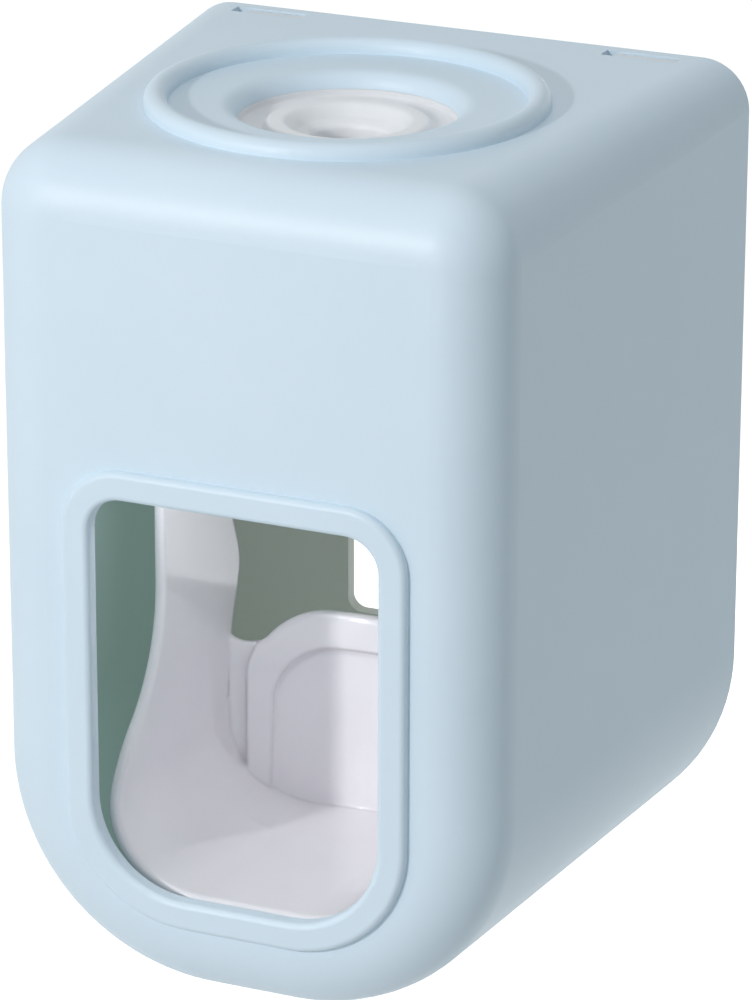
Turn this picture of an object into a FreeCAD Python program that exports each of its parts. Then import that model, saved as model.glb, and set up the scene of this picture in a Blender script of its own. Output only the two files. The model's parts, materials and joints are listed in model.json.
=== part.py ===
import FreeCAD, Part
import math
import os

# Wall-hung toothpaste dispenser that lays paste on a brush pushed into its window
# Millimetres. X runs to the right, Y towards the wall, Z up. While the pieces are made,
# Y = 0 is the wall and Z = 0 is the casing's lowest line; the finished pieces are moved
# so that the origin is the middle of the adhesive face. A depth is measured from the
# casing's front face towards the wall.

# Casing
front_width = 68.0
rear_width = 80.0
casing_height = 111.0
wall = 2.2
front_edge_radius = 8.6
top_corner_extra = 0.9
rear_top_radius = 6.5
bottom_flat_width = 10.0
rim_gap = 0.5

# Brush window and its raised surround
window_width = 39.4
window_bottom = 14.0
window_top_drop = 43.8
window_top_radius = 4.5
window_bottom_radius = 12.5
surround_width = 3.8
surround_height = 1.2
surround_edge_radius = 0.8
window_back_bevel = 1.2

# Tube inlet in the top
inlet_depth = 34.5
inlet_to_rear = 38.0
inlet_hole_radius = 14.0
ring_radius = 24.2
ring_width = 3.0
ring_height = 2.0

# Silicone collar and the valve below it
collar_flange = 2.0
collar_overlap = 3.5
collar_bore_radius = 4.9
collar_neck_wall = 3.1
collar_neck_length = 6.9
collar_ring_depth = 0.9
collar_disc_radius = 10.2
collar_disc_edge = 0.6
collar_dish_depth = 1.6
collar_lip_width = 1.6
valve_thickness = 1.2
valve_overlap = 1.0
flap_radius = 3.6
flap_slit = 0.5
flap_angle = 290.0

# Pump bulb
bulb_length = 23.8
bulb_radius = 11.5
bulb_wall = 1.6
bulb_neck_radius = 8.8
bulb_flange = 1.5
bulb_flange_overlap = 2.7
bulb_foot_radius = 9.5

# Pump frame
frame_plate = 2.4
bulb_back_gap = 0.6
ear_thickness = 2.8
ear_radius = 5.5
prong_width = 3.0
screw_offset_x = 13.0
screw_offset_y = 20.0
screw_margin = 4.0
frame_corner_radius = 3.5

# Outlet nozzle with its nut, seal and duckbill
spigot_radius = 6.0
nozzle_body_radius = 8.9
nozzle_body_length = 4.1
nozzle_tip_radius = 4.8
nozzle_tip_length = 6.0
nozzle_bore_radius = 3.2
thread_wall = 1.6
thread_length = 3.6
nut_wall = 1.9
nut_web = 1.3
nut_grip_count = 18
nut_grip_radius = 0.7
duckbill_flange = 1.2
duckbill_overlap = 1.3
duckbill_length = 5.0
duckbill_wall = 0.8
duckbill_slit = 0.3
seal_section = 1.4
seal_radius = 7.4

# Push lever
lever_side_inset = 0.3
lever_wall = 1.5
floor_below_window = 1.0
floor_drop = 3.0
floor_radius = 12.0
lip_depth = 3.8
lip_height = 1.6
lip_edge_radius = 0.6
bend_drop = 40.8
arm_front_ahead = 0.6
arm_back_inset = 2.4
eye_radius = 5.0
shoulder_bulge = 2.3
shoulder_height = 30.5
shoulder_radius = 7.0
shoulder_turn = 20.0
paddle_depth = 43.0
paddle_hollow_radius = 40.0
paddle_wall = 2.0
paddle_side_gap = 2.9
paddle_height = 24.9
paddle_corner_radius = 9.8
web_height = 20.0
web_recess = 1.0
web_margin = 0.5
valley_radius = 3.0
valley_rise = 20.0
panel_recess = 0.8
panel_side_margin = 2.8
panel_foot_margin = 2.4
panel_top_margin = 4.9
panel_top_radius = 8.4
panel_edge_radius = 0.5
paddle_edge_radius = 0.8
pivot_ahead = 14.0
pivot_drop = 5.8

# Squeeze plate and its springs
squeeze_drop = 7.0
squeeze_height = 9.5
squeeze_thickness = 4.0
shoe_width = 22.0
shoe_radius = 3.5
peg_radius = 1.5
peg_spacing = 4.6
spring_wire = 0.7
spring_radius = 2.6
spring_turns = 9
spring_post_length = 2.5
spring_post_radius = 1.9

# Pivot pin, clips, washers and bumpers
pin_radius = 1.5
pin_overhang = 1.6
clip_thickness = 0.6
clip_radius = 3.2
clip_groove_depth = 0.3
clip_mouth = 2.2
washer_radius = 4.0
washer_thickness = 0.5
bumper_radius = 2.0
bumper_length = 2.0
bumper_stem_radius = 1.2

# Frame screws
screw_radius = 1.3
screw_length = 10.0
screw_head_radius = 2.4
screw_head_height = 1.8
driver_slot_width = 0.7
driver_slot_length = 3.0
driver_slot_depth = 0.9
boss_wall = 1.65

# Back cover and its snap tabs
cover_thickness = 2.0
rebate_wall = 1.2
tab_spacing = 53.0
tab_width = 8.3
tab_near_gap = 0.4
tab_far_gap = 1.5
tab_sink = 0.3
cover_hole_width = 30.2
cover_hole_bottom = 27.6
cover_hole_height = 33.4
cover_hole_radius = 2.0

# Wall plate with its hook, and the adhesive pad
plate_width = 44.0
plate_height = 50.0
plate_bottom = 42.0
plate_thickness = 1.3
plate_corner_radius = 4.0
pad_thickness = 0.8
pad_margin = 1.0
hook_width = 24.0
hook_neck = 3.9
hook_lip_rise = 5.0
hook_lip_thickness = 2.4

# Clearances
slip = 0.05
fit_gap = 0.2
move_gap = 0.3

V = FreeCAD.Vector

# Places that follow from the sizes above
casing_depth = inlet_depth + inlet_to_rear
front_y = -(casing_depth + rim_gap)
rear_y = -rim_gap
bottom_radius = (front_width - bottom_flat_width) / 2
front_top_radius = front_edge_radius + top_corner_extra
inlet_y = front_y + inlet_depth
top_under = casing_height - wall
seat_top = top_under - collar_flange
valve_top = seat_top - collar_neck_length
bulb_top = valve_top - valve_thickness
frame_top = bulb_top - bulb_flange
frame_under = frame_top - frame_plate
shelf_top = frame_under - bulb_length
shelf_under = shelf_top - frame_plate
nozzle_under = shelf_under - nozzle_body_length
collar_neck_radius = collar_bore_radius + collar_neck_wall
collar_radius = inlet_hole_radius + collar_overlap
valve_radius = collar_neck_radius + valve_overlap
bulb_flange_radius = bulb_neck_radius + bulb_flange_overlap
window_top = casing_height - window_top_drop
floor_front = window_bottom - floor_below_window
lever_inner = window_width / 2 - lever_side_inset
lever_outer = lever_inner + lever_wall
ear_outer = lever_inner - washer_thickness - 2 * slip
ear_inner = ear_outer - ear_thickness
pivot_depth = inlet_depth - pivot_ahead
pivot_y = front_y + pivot_depth
pivot_z = frame_under - pivot_drop
arm_front_depth = pivot_depth - arm_front_ahead
arm_back_depth = paddle_depth - arm_back_inset
floor_low = floor_front - floor_drop - lever_wall
paddle_top = floor_front + paddle_height
paddle_half = lever_inner - paddle_side_gap
shoulder_depth = arm_back_depth + shoulder_bulge
squeeze_top = pivot_z - squeeze_drop
squeeze_bottom = squeeze_top - squeeze_height
squeeze_back = inlet_y - bulb_radius - move_gap
shoe_y = squeeze_back - shoe_radius
squeeze_rear = shoe_y + shoe_radius / 2
squeeze_front = squeeze_rear - squeeze_thickness
prong_rear = squeeze_front - slip - bumper_length
frame_back = inlet_y + bulb_radius + bulb_back_gap
spring_z = (squeeze_top + squeeze_bottom) / 2
spring_x = (bulb_radius + move_gap + ear_outer) / 2
bumper_x = (ear_inner + ear_outer) / 2
bumper_z = squeeze_top - bumper_radius
cover_rear = -(pad_thickness + plate_thickness + move_gap)
cover_front = cover_rear - cover_thickness
hook_top = cover_hole_bottom + cover_hole_height - slip
plate_middle = plate_bottom + plate_height / 2


def outline(place, start, *steps):
    """Face inside a closed line; a step is (end,) for a line or (middle, end) for an arc."""
    edges = []
    here = place(*start)
    for step in steps:
        end = place(*step[-1])
        if len(step) == 2:
            edges.append(Part.Arc(here, place(*step[0]), end).toShape())
        else:
            edges.append(Part.makeLine(here, end))
        here = end
    return Part.Face(Part.Wire(edges))


def facing(y):
    """Places a point (x, z) on a plane parallel to the wall."""
    return lambda x, z: V(x, y, z)


def sideways(x):
    """Places a point (depth, z) on a plane square to the wall."""
    return lambda depth, z: V(x, front_y + depth, z)


def about_inlet(radius, z):
    """Places a point (radius, z) on a half plane through the inlet's axis."""
    return V(radius, inlet_y, z)


def polar(centre, radius, degrees):
    """Point on a circle in a two-number plane."""
    angle = math.radians(degrees)
    return (centre[0] + radius * math.cos(angle), centre[1] + radius * math.sin(angle))


def rounded(half_width, low, high, low_radius, high_radius, y):
    """Upright outline, symmetric about x = 0, with round lower and upper corners."""
    right_low = (half_width - low_radius, low + low_radius)
    right_high = (half_width - high_radius, high - high_radius)
    left_low = (-right_low[0], right_low[1])
    left_high = (-right_high[0], right_high[1])
    return outline(
        facing(y),
        (left_low[0], low),
        ((right_low[0], low),),
        (polar(right_low, low_radius, -45), (half_width, right_low[1])),
        ((half_width, right_high[1]),),
        (polar(right_high, high_radius, 45), (right_high[0], high)),
        ((left_high[0], high),),
        (polar(left_high, high_radius, 135), (-half_width, left_high[1])),
        ((-half_width, left_low[1]),),
        (polar(left_low, low_radius, 225), (left_low[0], low)),
    )


def turned(start, *steps):
    """Solid of revolution about the inlet's axis."""
    return outline(about_inlet, start, *steps).revolve(V(0, inlet_y, 0), V(0, 0, 1), 360)


def washer(outer_radius, inner_radius, low, high):
    """Ring about the inlet's axis."""
    return turned(
        (inner_radius, low),
        ((outer_radius, low),),
        ((outer_radius, high),),
        ((inner_radius, high),),
        ((inner_radius, low),),
    )


def block(x_low, x_high, y_low, y_high, z_low, z_high):
    return Part.makeBox(x_high - x_low, y_high - y_low, z_high - z_low, V(x_low, y_low, z_low))


def rod(radius, start, end):
    """Round bar between two points."""
    return Part.makeCylinder(radius, start.distanceToPoint(end), start, end - start)


def crossbar(radius, half_length, y, z):
    """Round bar along x, centred on x = 0."""
    return rod(radius, V(-half_length, y, z), V(half_length, y, z))


def mirrored(shape):
    """The same shape on the other side of x = 0."""
    return shape.mirror(V(0, 0, 0), V(1, 0, 0))


def edges_at(shape, y):
    """Edges that lie in one plane parallel to the wall."""
    found = []
    for edge in shape.Edges:
        reach = edge.BoundBox
        if max(abs(reach.YMin - y), abs(reach.YMax - y)) < slip:
            found.append(edge)
    return found


def tangent(first, first_radius, second, second_radius, side):
    """Ends of the line that touches two circles on one side."""
    span = math.dist(first, second)
    along = ((second[0] - first[0]) / span, (second[1] - first[1]) / span)
    across = (side * along[1], -side * along[0])
    lean = (first_radius - second_radius) / span
    square = math.sqrt(1 - lean * lean)
    normal = (lean * along[0] + square * across[0], lean * along[1] + square * across[1])
    start = (first[0] + first_radius * normal[0], first[1] + first_radius * normal[1])
    end = (second[0] + second_radius * normal[0], second[1] + second_radius * normal[1])
    return start, end


def casing_section(inset, y):
    """Casing outline at one depth, drawn in by an inset."""
    share = (y - front_y) / casing_depth
    half_width = (front_width + share * (rear_width - front_width)) / 2
    top_radius = front_top_radius + share * (rear_top_radius - front_top_radius)
    low_radius = bottom_radius - inset
    high_radius = top_radius - inset
    return rounded(half_width - inset, inset, casing_height - inset, low_radius, high_radius, y)


def casing_body(inset, y_low, y_high):
    """Flared block between two depths."""
    ends = [casing_section(inset, y).OuterWire for y in (y_low, y_high)]
    return Part.makeLoft(ends, True, True)


def window_face(grow, y):
    return rounded(
        window_width / 2 + grow,
        window_bottom - grow,
        window_top + grow,
        window_bottom_radius + grow,
        window_top_radius + grow,
        y,
    )


def screw_places():
    """Screw axes, four about the inlet."""
    return [
        (side * screw_offset_x, inlet_y + end * screw_offset_y)
        for side in (-1, 1)
        for end in (-1, 1)
    ]


def tab_places():
    """Snap tabs as (middle, casing edge, way inwards): two at the top, one at the bottom."""
    return [
        (-tab_spacing / 2, casing_height, -1),
        (tab_spacing / 2, casing_height, -1),
        (0, 0, 1),
    ]


def front_casing():
    shell = casing_body(0, front_y, rear_y)
    shell = shell.makeFillet(front_edge_radius, edges_at(shell, front_y))
    inside = casing_body(wall, front_y + wall, rear_y)
    inside = inside.makeFillet(front_edge_radius - wall, edges_at(inside, front_y + wall))
    shell = shell.cut(inside)
    shell = shell.cut(casing_body(rebate_wall, cover_front - slip, rear_y))
    surround_y = front_y - surround_height
    through = V(0, surround_height + wall, 0)
    surround = window_face(surround_width, surround_y).extrude(through)
    surround = surround.makeFillet(surround_edge_radius, edges_at(surround, surround_y))
    opening = window_face(0, surround_y).extrude(through)
    surround = surround.cut(opening)
    window_reach = window_face(slip, surround_y - slip).extrude(through).BoundBox
    inner_edges = [edge for edge in edges_at(surround, surround_y) if window_reach.isInside(edge.BoundBox)]
    surround = surround.makeFillet(surround_edge_radius, inner_edges)
    shell = shell.cut(opening).fuse(surround)
    bevel_start = front_y + wall - window_back_bevel
    bevel_ends = [
        window_face(grow, bevel_start + grow).OuterWire
        for grow in (0, window_back_bevel + slip)
    ]
    shell = shell.cut(Part.makeLoft(bevel_ends, True, True))
    crown = ring_width / 2
    ring_low = casing_height - wall / 2
    ring_shoulder = casing_height + ring_height - crown
    shell = shell.fuse(turned(
        (ring_radius - crown, ring_low),
        ((ring_radius + crown, ring_low),),
        ((ring_radius + crown, ring_shoulder),),
        ((ring_radius, casing_height + ring_height), (ring_radius - crown, ring_shoulder)),
        ((ring_radius - crown, ring_low),),
    ))
    lip_centre = (inlet_hole_radius + wall, top_under)
    shell = shell.cut(turned(
        (0, top_under - wall),
        ((inlet_hole_radius, top_under - wall),),
        ((inlet_hole_radius, top_under),),
        (polar(lip_centre, wall, 135), (lip_centre[0], casing_height)),
        ((lip_centre[0], casing_height + ring_height),),
        ((0, casing_height + ring_height),),
        ((0, top_under - wall),),
    ))
    for x, y in screw_places():
        boss_top = V(x, y, top_under + wall / 2)
        shell = shell.fuse(rod(screw_radius + slip + boss_wall, V(x, y, frame_top), boss_top))
        pilot_top = V(x, y, frame_under + screw_length + move_gap)
        shell = shell.cut(rod(screw_radius + slip, V(x, y, frame_top), pilot_top))
    for x, edge, _ in tab_places():
        left = x - tab_width / 2 - tab_far_gap
        right = x + tab_width / 2 + tab_near_gap
        slot_front = cover_front - fit_gap
        slot_rear = cover_rear + fit_gap
        shell = shell.cut(block(left, right, slot_front, slot_rear, edge - wall, edge + wall))
    return shell.removeSplitter()


def back_cover():
    panel = casing_body(rebate_wall + fit_gap, cover_front, cover_rear)
    for x, edge, inward in tab_places():
        ends = [edge + inward * tab_sink, edge + inward * (rebate_wall + fit_gap + cover_thickness)]
        left = x - tab_width / 2
        panel = panel.fuse(block(left, left + tab_width, cover_front, cover_rear, min(ends), max(ends)))
    high = cover_hole_bottom + cover_hole_height
    radius = cover_hole_radius
    hole = rounded(cover_hole_width / 2, cover_hole_bottom, high, radius, radius, cover_front)
    return panel.cut(hole.extrude(V(0, cover_thickness, 0))).removeSplitter()


def wall_plate():
    plate_front = -(pad_thickness + plate_thickness)
    high = plate_bottom + plate_height
    radius = plate_corner_radius
    face = rounded(plate_width / 2, plate_bottom, high, radius, radius, plate_front)
    plate = face.extrude(V(0, plate_thickness, 0))
    lip_rear = cover_front - move_gap
    lip_front = lip_rear - hook_lip_thickness
    low = hook_top - hook_neck
    half = hook_width / 2
    neck = block(-half, half, lip_front, plate_front + plate_thickness / 2, low, hook_top)
    lip = block(-half, half, lip_front, lip_rear, low, hook_top + hook_lip_rise)
    return plate.fuse(neck).fuse(lip).removeSplitter()


def adhesive_pad():
    radius = plate_corner_radius - pad_margin
    low = plate_bottom + pad_margin
    high = plate_bottom + plate_height - pad_margin
    face = rounded(plate_width / 2 - pad_margin, low, high, radius, radius, -pad_thickness)
    return face.extrude(V(0, pad_thickness, 0))


def inlet_collar():
    ring_edge = inlet_hole_radius - fit_gap
    ring_top = top_under - collar_ring_depth
    dish_edge = collar_disc_radius - collar_disc_edge
    disc_centre = (dish_edge, top_under - collar_disc_edge)
    lip_top = top_under - collar_dish_depth
    lip_radius = collar_bore_radius + collar_lip_width
    lip_low = lip_top - collar_lip_width
    lip_centre = (lip_radius, lip_low)
    dish_middle = ((dish_edge + lip_radius) / 2, (top_under + 2 * lip_top) / 3)
    return turned(
        (collar_bore_radius, valve_top),
        ((collar_neck_radius, valve_top),),
        ((collar_neck_radius, seat_top),),
        ((collar_radius, seat_top),),
        ((collar_radius, top_under),),
        ((ring_edge, top_under),),
        ((ring_edge, ring_top),),
        ((collar_disc_radius, ring_top),),
        ((collar_disc_radius, disc_centre[1]),),
        (polar(disc_centre, collar_disc_edge, 45), (dish_edge, top_under)),
        (dish_middle, (lip_radius, lip_top)),
        (polar(lip_centre, collar_lip_width, 135), (collar_bore_radius, lip_low)),
        ((collar_bore_radius, valve_top),),
    )


def inlet_seat():
    bore = collar_neck_radius + slip
    valve_pocket = valve_radius + slip
    flange_pocket = bulb_flange_radius + fit_gap
    return turned(
        (bore, seat_top),
        ((collar_radius, seat_top),),
        ((collar_radius, frame_top),),
        ((flange_pocket, frame_top),),
        ((flange_pocket, bulb_top),),
        ((valve_pocket, bulb_top),),
        ((valve_pocket, valve_top),),
        ((bore, valve_top),),
        ((bore, seat_top),),
    )


def inlet_valve():
    disc = Part.makeCylinder(valve_radius, valve_thickness, V(0, inlet_y, bulb_top))
    slit = outline(
        about_inlet,
        (flap_radius, bulb_top),
        ((flap_radius + flap_slit, bulb_top),),
        ((flap_radius + flap_slit, valve_top),),
        ((flap_radius, valve_top),),
        ((flap_radius, bulb_top),),
    ).revolve(V(0, inlet_y, 0), V(0, 0, 1), flap_angle)
    return disc.cut(slit)


def pump_bulb():
    middle = (frame_under + shelf_top) / 2
    neck_bore = bulb_neck_radius - bulb_wall
    floor_top = shelf_top + bulb_wall
    return turned(
        (neck_bore, bulb_top),
        ((bulb_flange_radius, bulb_top),),
        ((bulb_flange_radius, frame_top),),
        ((bulb_neck_radius, frame_top),),
        ((bulb_neck_radius, frame_under),),
        ((bulb_radius, middle), (bulb_foot_radius, shelf_top)),
        ((nozzle_bore_radius, shelf_top),),
        ((nozzle_bore_radius, floor_top),),
        ((bulb_foot_radius - bulb_wall, floor_top),),
        ((bulb_radius - bulb_wall, middle), (neck_bore, frame_under)),
        ((neck_bore, bulb_top),),
    )


def outlet_valve():
    flange_radius = nozzle_bore_radius + duckbill_overlap - slip
    flange_low = shelf_top - duckbill_flange
    tube = nozzle_bore_radius - move_gap
    shoulder = flange_low - duckbill_length / 2
    tip = flange_low - duckbill_length
    bill = turned(
        (tube - duckbill_wall, shelf_top),
        ((flange_radius, shelf_top),),
        ((flange_radius, flange_low),),
        ((tube, flange_low),),
        ((tube, shoulder),),
        ((duckbill_wall, tip),),
        ((0, tip),),
        ((0, tip + duckbill_wall),),
        ((tube - duckbill_wall, shoulder),),
        ((tube - duckbill_wall, shelf_top),),
    )
    half = duckbill_slit / 2
    return bill.cut(block(-duckbill_wall, duckbill_wall, inlet_y - half, inlet_y + half, tip, shoulder))


def outlet_nozzle():
    pocket = nozzle_bore_radius + duckbill_overlap
    tip = nozzle_under - nozzle_tip_length
    tip_edge = (nozzle_tip_radius + nozzle_bore_radius) / 2
    body = turned(
        (nozzle_bore_radius, tip),
        ((tip_edge, tip),),
        ((nozzle_tip_radius, tip + nozzle_tip_radius - tip_edge),),
        ((nozzle_tip_radius, nozzle_under),),
        ((nozzle_body_radius, nozzle_under),),
        ((nozzle_body_radius, shelf_under),),
        ((spigot_radius, shelf_under),),
        ((spigot_radius, shelf_top),),
        ((pocket, shelf_top),),
        ((pocket, shelf_top - duckbill_flange),),
        ((nozzle_bore_radius, shelf_top - duckbill_flange),),
        ((nozzle_bore_radius, tip),),
    )
    half = seal_section / 2
    return body.cut(washer(seal_radius + half, seal_radius - half, shelf_under - seal_section, shelf_under))


def nozzle_seal():
    half = seal_section / 2
    return Part.makeTorus(seal_radius, half - slip, V(0, inlet_y, shelf_under - half))


def nozzle_nut():
    thread = nozzle_body_radius + fit_gap + thread_wall + slip
    outside = thread + nut_wall
    web_top = nozzle_under - slip
    nut = turned(
        (nozzle_tip_radius + fit_gap, web_top - nut_web),
        ((outside, web_top - nut_web),),
        ((outside, shelf_under - move_gap),),
        ((thread, shelf_under - move_gap),),
        ((thread, web_top),),
        ((nozzle_tip_radius + fit_gap, web_top),),
        ((nozzle_tip_radius + fit_gap, web_top - nut_web),),
    )
    for count in range(nut_grip_count):
        x, y = polar((0, inlet_y), outside, 360 * count / nut_grip_count)
        nut = nut.cut(rod(nut_grip_radius, V(x, y, web_top), V(x, y, shelf_under)))
    return nut


def pump_frame():
    front = inlet_y - screw_offset_y - screw_margin
    back = inlet_y + screw_offset_y + screw_margin
    frame = block(-ear_outer, ear_outer, front, back, frame_under, frame_top)
    upright = [edge for edge in frame.Edges if edge.BoundBox.ZLength > frame_plate / 2]
    frame = frame.makeFillet(frame_corner_radius, upright)
    bore = nozzle_body_radius + fit_gap
    thread = bore + thread_wall
    wall_rear = frame_back + frame_plate
    frame = frame.fuse(block(-ear_outer, ear_outer, frame_back, wall_rear, shelf_under, frame_top))
    frame = frame.fuse(block(-thread, thread, inlet_y, frame_back, shelf_under, shelf_top))
    frame = frame.fuse(Part.makeCylinder(thread, frame_plate, V(0, inlet_y, shelf_under)))
    frame = frame.fuse(washer(thread, bore, shelf_under - thread_length, shelf_under))
    frame = frame.cut(Part.makeCylinder(spigot_radius + fit_gap, frame_plate, V(0, inlet_y, shelf_under)))
    frame = frame.cut(Part.makeCylinder(bulb_neck_radius + slip, frame_plate, V(0, inlet_y, frame_under)))
    prong_low = bumper_z - prong_width
    prong_front = prong_rear - prong_width
    for side in (-1, 1):
        low_x, high_x = sorted((side * ear_inner, side * ear_outer))
        frame = frame.fuse(rod(ear_radius, V(low_x, pivot_y, pivot_z), V(high_x, pivot_y, pivot_z)))
        frame = frame.fuse(block(low_x, high_x, prong_front, pivot_y + ear_radius, pivot_z, frame_top))
        frame = frame.fuse(block(low_x, high_x, prong_front, prong_rear, prong_low, frame_top))
        stem_start = V(side * bumper_x, prong_front, bumper_z)
        stem_end = V(side * bumper_x, prong_rear, bumper_z)
        frame = frame.cut(rod(bumper_stem_radius + slip, stem_start, stem_end))
        post_end = V(side * spring_x, frame_back - spring_post_length, spring_z)
        frame = frame.fuse(rod(spring_post_radius, V(side * spring_x, frame_back, spring_z), post_end))
    frame = frame.cut(crossbar(pin_radius + slip, ear_outer, pivot_y, pivot_z))
    for x, y in screw_places():
        frame = frame.cut(rod(screw_radius + fit_gap, V(x, y, frame_under), V(x, y, frame_top)))
    return frame.removeSplitter()


def frame_screws():
    screws = []
    low = frame_under - screw_head_height
    slot_top = low + driver_slot_depth
    long = driver_slot_length / 2
    short = driver_slot_width / 2
    for x, y in screw_places():
        screw = rod(screw_head_radius, V(x, y, low), V(x, y, frame_under))
        screw = screw.fuse(rod(screw_radius, V(x, y, frame_under), V(x, y, frame_under + screw_length)))
        screw = screw.cut(block(x - long, x + long, y - short, y + short, low, slot_top))
        screw = screw.cut(block(x - short, x + short, y - long, y + long, low, slot_top))
        screws.append(screw)
    return Part.makeCompound(screws)


def scoop_run(half_width, radius, low, first_depth, last_depth):
    """U-shaped bar whose floor falls towards the wall."""
    high = pivot_z + eye_radius
    fall = floor_drop / (paddle_depth - lip_depth)
    start = low - fall * (first_depth - lip_depth)
    face = outline(
        facing(front_y + first_depth),
        (-half_width, high),
        ((-half_width, start + radius),),
        (polar((radius - half_width, start + radius), radius, 225), (radius - half_width, start)),
        ((half_width - radius, start),),
        (polar((half_width - radius, start + radius), radius, 315), (half_width, start + radius)),
        ((half_width, high),),
        ((-half_width, high),),
    )
    length = last_depth - first_depth
    return face.extrude(V(0, length, -fall * length))


def lever_front_steps():
    """Front edge of the scoop's sides: an S-bend between two upright runs."""
    low = (lip_depth, floor_front + lip_height)
    high = (arm_front_depth, pivot_z - bend_drop)
    half_step = (high[0] - low[0]) / 2
    half_rise = (high[1] - low[1]) / 2
    turn = 2 * math.atan2(half_step, half_rise)
    radius = half_rise / math.sin(turn)
    middle = (low[0] + half_step, low[1] + half_rise)
    low_arc = polar((low[0] + radius, low[1]), radius, 180 - math.degrees(turn) / 2)
    high_arc = polar((high[0] - radius, high[1]), radius, -math.degrees(turn) / 2)
    return [(low,), (low_arc, middle), (high_arc, high)]


def lever_arm():
    """Right-hand side arm from the scoop's floor line to the pivot eye."""
    floor_level = floor_front + floor_radius
    eye = (pivot_depth, pivot_z)
    steps = lever_front_steps()
    front_rise = math.sqrt(eye_radius ** 2 - arm_front_ahead ** 2)
    front_high = (arm_front_depth, pivot_z - front_rise)
    shoulder = (shoulder_depth - shoulder_radius, floor_front + shoulder_height)
    back_high, back_low = tangent(eye, eye_radius, shoulder, shoulder_radius, -1)
    shoulder_end = polar(shoulder, shoulder_radius, -shoulder_turn)
    shoulder_middle = polar(shoulder, shoulder_radius, 0)
    drop = (shoulder_end[0] - arm_back_depth) / math.tan(math.radians(shoulder_turn))
    face = outline(
        sideways(lever_inner),
        (lip_depth, floor_front),
        *steps,
        (front_high,),
        (polar(eye, eye_radius, 90), back_high),
        (back_low,),
        (shoulder_middle, shoulder_end),
        ((arm_back_depth, shoulder_end[1] - drop),),
        ((arm_back_depth - paddle_wall, floor_level),),
        ((arm_back_depth - paddle_wall, floor_front),),
        ((lip_depth, floor_front),),
    )
    arm = face.extrude(V(lever_wall, 0, 0))
    return arm.common(block(0, rear_width, front_y, 0, floor_level, casing_height))


def edges_on_drum(shape, radius):
    """Edges that lie on an upright cylinder about the axis of the paddle's hollow."""
    hollow_y = front_y + paddle_depth - paddle_hollow_radius
    found = []
    for edge in shape.Edges:
        points = edge.discretize(5)
        offs = [abs(math.hypot(point.x, point.y - hollow_y) - radius) for point in points]
        if max(offs) < slip:
            found.append(edge)
    return found


def paddle_face():
    """Outline of the paddle: an arch with a round valley on each side, up against the arms."""
    corner = (paddle_half - paddle_corner_radius, paddle_top - paddle_corner_radius)
    span = paddle_corner_radius + valley_radius
    valley_z = floor_front + web_height + valley_radius
    lean = math.degrees(math.asin((valley_z - corner[1]) / span))
    touch = polar(corner, paddle_corner_radius, lean)
    valley = polar(corner, span, lean)
    bottom = polar(valley, valley_radius, -90)
    ledge = polar(valley, valley_radius, -valley_rise)
    shoulder = polar(corner, paddle_corner_radius, (90 + lean) / 2)
    return outline(
        facing(front_y + arm_front_depth),
        (-ledge[0], floor_front),
        ((ledge[0], floor_front),),
        (ledge,),
        (bottom, touch),
        (shoulder, (corner[0], paddle_top)),
        ((-corner[0], paddle_top),),
        ((-shoulder[0], shoulder[1]), (-touch[0], touch[1])),
        ((-bottom[0], bottom[1]), (-ledge[0], ledge[1])),
        ((-ledge[0], floor_front),),
    )


def arch_face():
    """Outline of the part of the paddle that stands proud of its webs."""
    corner = (paddle_half - paddle_corner_radius, paddle_top - paddle_corner_radius)
    radius = paddle_corner_radius + web_margin
    side = polar(corner, radius, 0)
    shoulder = polar(corner, radius, 45)
    crown = polar(corner, radius, 90)
    return outline(
        facing(front_y + arm_front_depth),
        (-side[0], floor_low),
        ((side[0], floor_low),),
        (side,),
        (shoulder, crown),
        ((-crown[0], crown[1]),),
        ((-shoulder[0], shoulder[1]), (-side[0], side[1])),
        ((-side[0], floor_low),),
    )


def panel_face():
    """Outline of the paddle's sunk panel: arched above, spreading towards the floor."""
    panel_top = paddle_top - panel_top_margin
    corner = (paddle_half - panel_side_margin - panel_top_radius, panel_top - panel_top_radius)
    foot = (paddle_half - panel_foot_margin, floor_low)
    side = tangent(foot, 0, corner, panel_top_radius, 1)[1]
    shoulder = polar(corner, panel_top_radius, 45)
    return outline(
        facing(front_y + arm_front_depth),
        (-foot[0], floor_low),
        (foot,),
        (side,),
        (shoulder, (corner[0], panel_top)),
        ((-corner[0], panel_top),),
        ((-shoulder[0], shoulder[1]), (-side[0], side[1])),
        ((-foot[0], floor_low),),
    )


def front_edges(shape):
    """Edges along the front of the lever's lip, bends and arms."""
    found = edges_at(shape, front_y + lip_depth)
    for edge in shape.Edges:
        reach = edge.BoundBox
        ahead = reach.YMax < front_y + arm_front_depth + slip and reach.YMin > front_y + lip_depth - slip
        if ahead and reach.XLength < slip and reach.ZMax < pivot_z and reach.YLength > slip:
            found.append(edge)
    return found


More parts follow.
